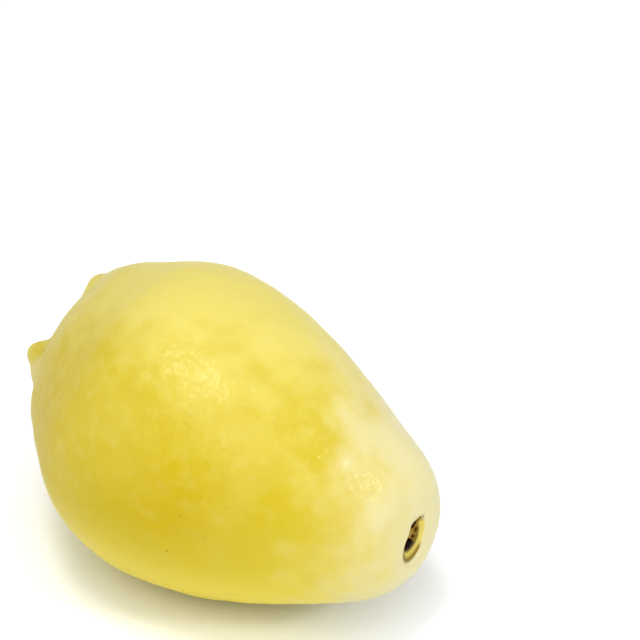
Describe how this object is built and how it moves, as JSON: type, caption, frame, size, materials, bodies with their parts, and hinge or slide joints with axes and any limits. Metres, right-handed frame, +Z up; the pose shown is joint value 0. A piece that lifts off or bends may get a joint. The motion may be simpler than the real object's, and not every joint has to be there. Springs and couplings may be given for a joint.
{
  "type": "guava",
  "caption": "Ripe pear-shaped yellow guava lying on its side, with a stalk stub in its stem pit and a dried calyx at its blossom end.",
  "frame": {"origin": "on the resting plane, under the middle of the whole guava's box", "axes": "+Z up, +X along the fruit towards its stem end, +Y to the left of that"},
  "size_m": [0.1026, 0.066, 0.0655],
  "materials": {
    "skin": "thin waxy fruit skin, mottled yellow, paler towards the stem end, with a soft broken gloss",
    "stalk": "torn dry brown stalk, dull and fibrous",
    "dried_calyx": "withered dark brown sepals, dull and papery"
  },
  "bodies": {
    "root": {"fruit": "skin", "stem_stub": "stalk", "calyx": "dried_calyx"}
  },
  "joints": []
}
